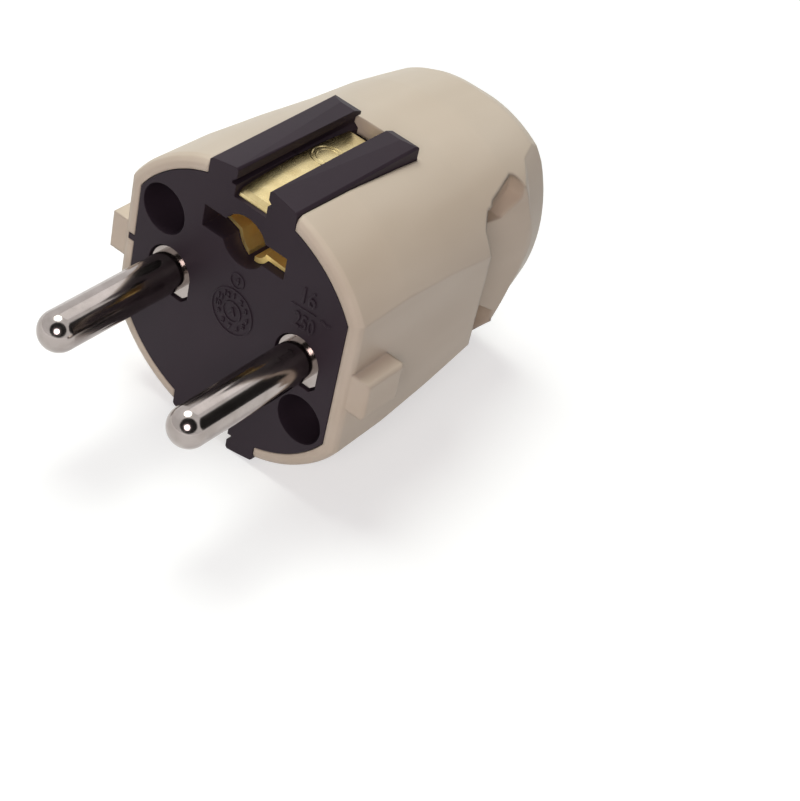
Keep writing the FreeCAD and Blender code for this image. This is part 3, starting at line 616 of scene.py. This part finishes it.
def ring_piece(name, steps, profile, corner_at, material):
    """A closed ring: corner_at places each corner of the profile at each angle."""
    bm = bmesh.new()
    rows = []
    for step in range(steps):
        angle = 2 * math.pi * step / steps
        rows.append([bm.verts.new(corner_at(angle, across, rise)) for across, rise in profile])
    for step in range(steps):
        one, two = rows[step], rows[(step + 1) % steps]
        for k in range(len(profile)):
            n = (k + 1) % len(profile)
            bm.faces.new((one[k], one[n], two[n], two[k]))
    bmesh.ops.recalc_face_normals(bm, faces=bm.faces)
    mesh = bpy.data.meshes.new(name)
    bm.to_mesh(mesh)
    bm.free()
    dressed(name, mesh, material)


def raised_ring(name, x, z, radius, width):
    """A thin ring with a rounded top on the face; all measures are in millimetres."""
    def corner_at(angle, across, rise):
        r = radius * MM + across * (width * MM)
        return (x * MM + r * math.cos(angle), rise * MARK_HEIGHT, z * MM + r * math.sin(angle))

    ring_piece(name, RING_STEPS, RING_PROFILE, corner_at, satin_black)


print("mark helpers ready")


# %% Rating, cavity number and date dial
DIAL_HEIGHT = 0.4
DIAL_NUMBER_RADIUS = 2.1
MONTHS = 12

raised_text("rating_current", "16", 9.55, 8.45, 2.9, wide=0.8)
raised_text("rating_voltage", "250", 9.6, 5.05, 2.7, wide=0.72)
raised_text("rating_wave", "~", 12.2, 6.85, 2.6)
raised_text("cavity_number", "4", 0.05, 4.68, 1.3)
raised_ring("cavity_ring", 0.05, 4.68, 0.95, 0.16)
raised_ring("dial_ring", 0.0, DIAL_HEIGHT, 2.9, 0.2)
raised_ring("dial_hub", 0.0, DIAL_HEIGHT, 1.25, 0.16)
for month in range(1, MONTHS + 1):
    angle = math.pi / 2 - (month - 1) * 2 * math.pi / MONTHS
    raised_text(
        "dial_number_" + str(month), str(month), DIAL_NUMBER_RADIUS * math.cos(angle),
        DIAL_HEIGHT + DIAL_NUMBER_RADIUS * math.sin(angle), 0.95,
    )
raised_text("dial_arrow", "^", 0.0, 0.1, 2.2)
print("marks on the face, with", MONTHS, "numbers on the dial")


# %% Rating bar
BAR_LEFT = (7.5 * MM, 6.72 * MM)
BAR_RIGHT = (10.9 * MM, 6.92 * MM)
BAR_HALF = 0.1 * MM
BAR_TOP_HALF = 0.06 * MM

bar_corners = []
for y, half in ((MARK_FOOT, BAR_HALF), (-MARK_HEIGHT, BAR_TOP_HALF)):
    for (x, z), turn in ((BAR_LEFT, -1), (BAR_RIGHT, -1), (BAR_RIGHT, 1), (BAR_LEFT, 1)):
        bar_corners.append((x, y, z + turn * half))
bar_faces = [(3, 2, 1, 0), (4, 5, 6, 7), (0, 1, 5, 4), (1, 2, 6, 5), (2, 3, 7, 6), (3, 0, 4, 7)]
bar_mesh = new_mesh("rating_bar", bar_corners, bar_faces)
dressed("rating_bar", bar_mesh, satin_black)
print("rating bar:", len(bar_corners), "corners")


# %% [markdown]
# ## Stamped ring on the earth strips
# Each brass strip has a shallow double ring stamped into it, which stiffens the spring. The
# strip is slightly arched, so the ring follows the height of the strip at every point.

# %% Stamped rings
STRIP_TOP = max(
    (nodes["earth_strap"].matrix_world @ vertex.co).z
    for vertex in nodes["earth_strap"].data.vertices
)
STRIP_MIDDLE = 9.15 * MM
STRIP_BEND = 0.5 * MM / STRIP_MIDDLE ** 2
STAMP_PLACE = 12.3 * MM
STAMP_STEPS = 48
STAMP_PROFILE = [(-0.5, -0.6), (-0.5, 0.2), (-0.2, 1.0), (0.2, 1.0), (0.5, 0.2), (0.5, -0.6)]


def stamped_ring(name, up, radius, width, height):
    """A rounded ring on the arched strip; up is 1 for the top strip and -1 for the bottom one."""
    def corner_at(angle, across, rise):
        reach = radius + across * width
        y = STAMP_PLACE + reach * math.sin(angle)
        level = STRIP_TOP - STRIP_BEND * (y - STRIP_MIDDLE) ** 2 + rise * height
        return (reach * math.cos(angle), y, up * level)

    ring_piece(name, STAMP_STEPS, STAMP_PROFILE, corner_at, brass)


for up, end in ((1, "top"), (-1, "bottom")):
    stamped_ring("strip_ring_" + end, up, 1.9 * MM, 0.3 * MM, 0.09 * MM)
    stamped_ring("strip_ring_inner_" + end, up, 1.35 * MM, 0.25 * MM, 0.07 * MM)
print("strip top at", round(STRIP_TOP, 6))
